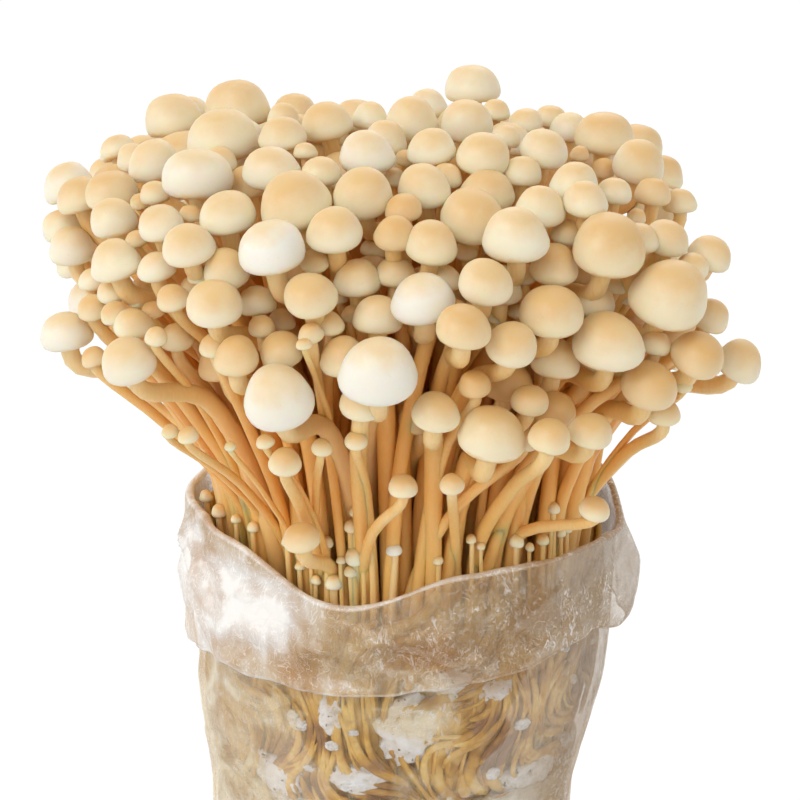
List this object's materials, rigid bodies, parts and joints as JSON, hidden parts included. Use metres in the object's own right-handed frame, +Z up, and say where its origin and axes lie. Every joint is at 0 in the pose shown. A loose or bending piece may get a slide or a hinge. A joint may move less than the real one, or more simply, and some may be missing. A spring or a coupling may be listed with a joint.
{
  "type": "enoki mushroom grow bag",
  "caption": "Bouquet of enoki mushrooms with button caps on long slender stems, growing from a substrate block in a clear film bag with its mouth folded outwards as a cuff.",
  "frame": {"origin": "middle of the bag's flat bottom", "axes": "+Z up along the bunch; -Y is the front, where the cuff has its V-shaped dip; +X is to the right seen from the front"},
  "size_m": [0.1703, 0.1664, 0.2792],
  "materials": {
    "film": "thin, crumpled, milky clear film",
    "substrate": "packed sawdust grown through with white mycelium",
    "mushroom": "smooth, moist, satin skin, cream caps on amber stems"
  },
  "bodies": {
    "root": {"bag": "film", "substrate": "substrate", "mushroom_tuft_01": "mushroom", "mushroom_tuft_02": "mushroom", "mushroom_tuft_03": "mushroom", "mushroom_tuft_04": "mushroom", "mushroom_tuft_05": "mushroom", "mushroom_tuft_06": "mushroom", "mushroom_tuft_07": "mushroom", "mushroom_tuft_08": "mushroom", "mushroom_tuft_09": "mushroom", "mushroom_tuft_10": "mushroom", "mushroom_tuft_11": "mushroom", "mushroom_tuft_12": "mushroom", "mushroom_tuft_13": "mushroom", "mushroom_tuft_14": "mushroom", "mushroom_tuft_15": "mushroom", "mushroom_tuft_16": "mushroom", "mushroom_tuft_17": "mushroom", "mushroom_tuft_18": "mushroom", "mushroom_tuft_19": "mushroom", "mushroom_tuft_20": "mushroom", "mushroom_tuft_21": "mushroom", "mushroom_tuft_22": "mushroom", "mushroom_tuft_23": "mushroom", "mushroom_tuft_24": "mushroom", "mushroom_tuft_25": "mushroom", "mushroom_tuft_26": "mushroom", "mushroom_tuft_27": "mushroom"}
  },
  "joints": []
}
